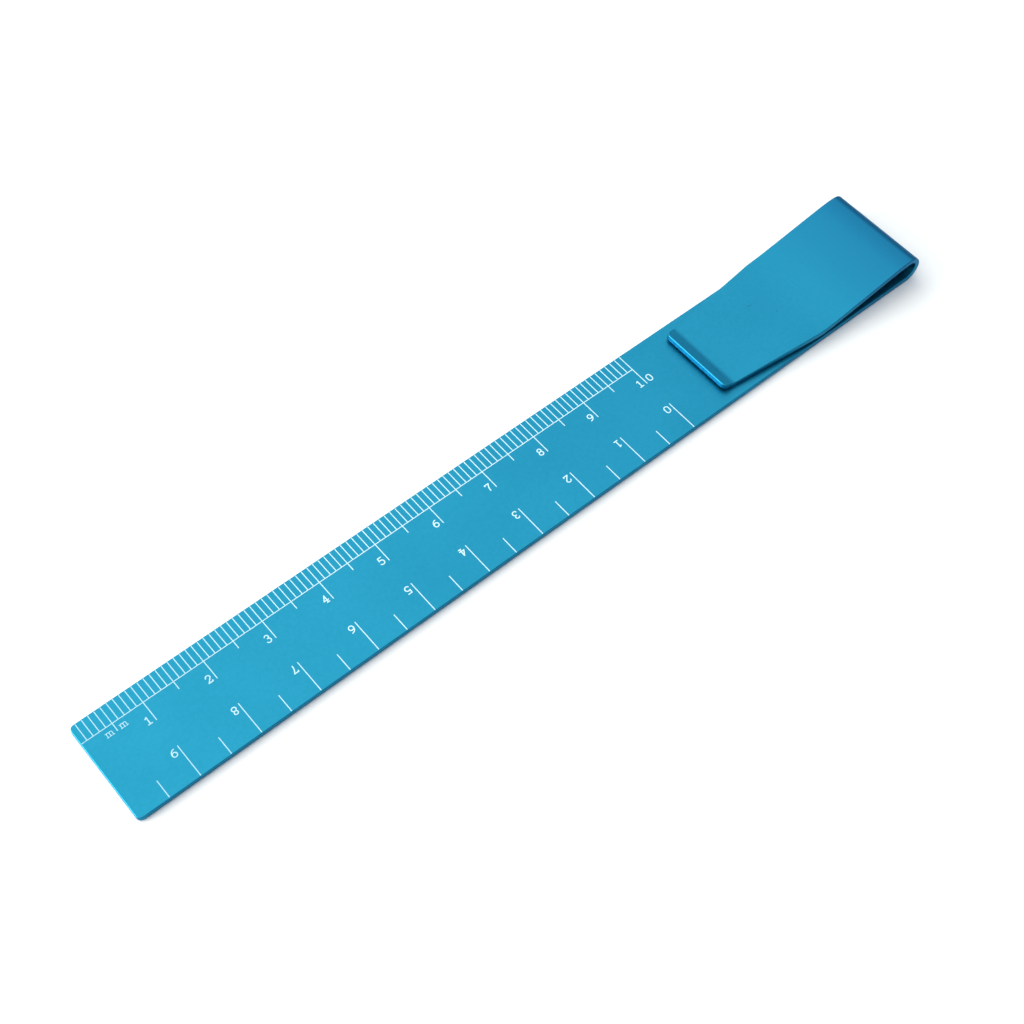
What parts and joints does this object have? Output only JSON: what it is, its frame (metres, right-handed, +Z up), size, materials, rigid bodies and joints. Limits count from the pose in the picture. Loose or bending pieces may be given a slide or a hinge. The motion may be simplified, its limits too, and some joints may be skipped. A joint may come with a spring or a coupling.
{
  "type": "clip ruler",
  "caption": "Pocket ruler and bookmark: an anodised aluminium strip with millimetre scales, folded back at one end into a sprung page clip.",
  "frame": {"origin": "centre of the bounding box at the level of the flat underside", "axes": "+X along the ruler from the free end towards the fold, +Y across it towards the edge with the millimetre scale, +Z up out of the marked face"},
  "size_m": [0.1486, 0.0176, 0.0049],
  "materials": {
    "anodised_strip": "satin blue anodised aluminium, fine matt grain, slightly brighter cut edges",
    "white_marks": "matt white printed lines and numerals"
  },
  "bodies": {
    "ruler": {"fold_lower": "anodised_strip", "lower_centimetre_marks": "white_marks", "lower_half_centimetre_marks": "white_marks", "lower_numeral_0": "white_marks", "lower_numeral_1": "white_marks", "lower_numeral_2": "white_marks", "lower_numeral_3": "white_marks", "lower_numeral_4": "white_marks", "lower_numeral_5": "white_marks", "lower_numeral_6": "white_marks", "lower_numeral_7": "white_marks", "lower_numeral_8": "white_marks", "lower_numeral_9": "white_marks", "ruler_blade": "anodised_strip", "unit_letters": "white_marks", "upper_centimetre_marks": "white_marks", "upper_closing_line": "white_marks", "upper_half_centimetre_marks": "white_marks", "upper_millimetre_marks": "white_marks", "upper_numeral_1": "white_marks", "upper_numeral_10": "white_marks", "upper_numeral_2": "white_marks", "upper_numeral_3": "white_marks", "upper_numeral_4": "white_marks", "upper_numeral_5": "white_marks", "upper_numeral_6": "white_marks", "upper_numeral_7": "white_marks", "upper_numeral_8": "white_marks", "upper_numeral_9": "white_marks"},
    "clip": {"fold_upper": "anodised_strip", "clip_tongue": "anodised_strip"}
  },
  "joints": [
    {"name": "clip_flex", "type": "hinge", "parent": "ruler", "child": "clip", "pos_m": [0.07435, 0, 0.00245], "axis": [0, 1, 0], "range_deg": [0, 5.5], "stiffness_Nm_per_rad": 4.7, "springref_deg": -1.15}
  ]
}
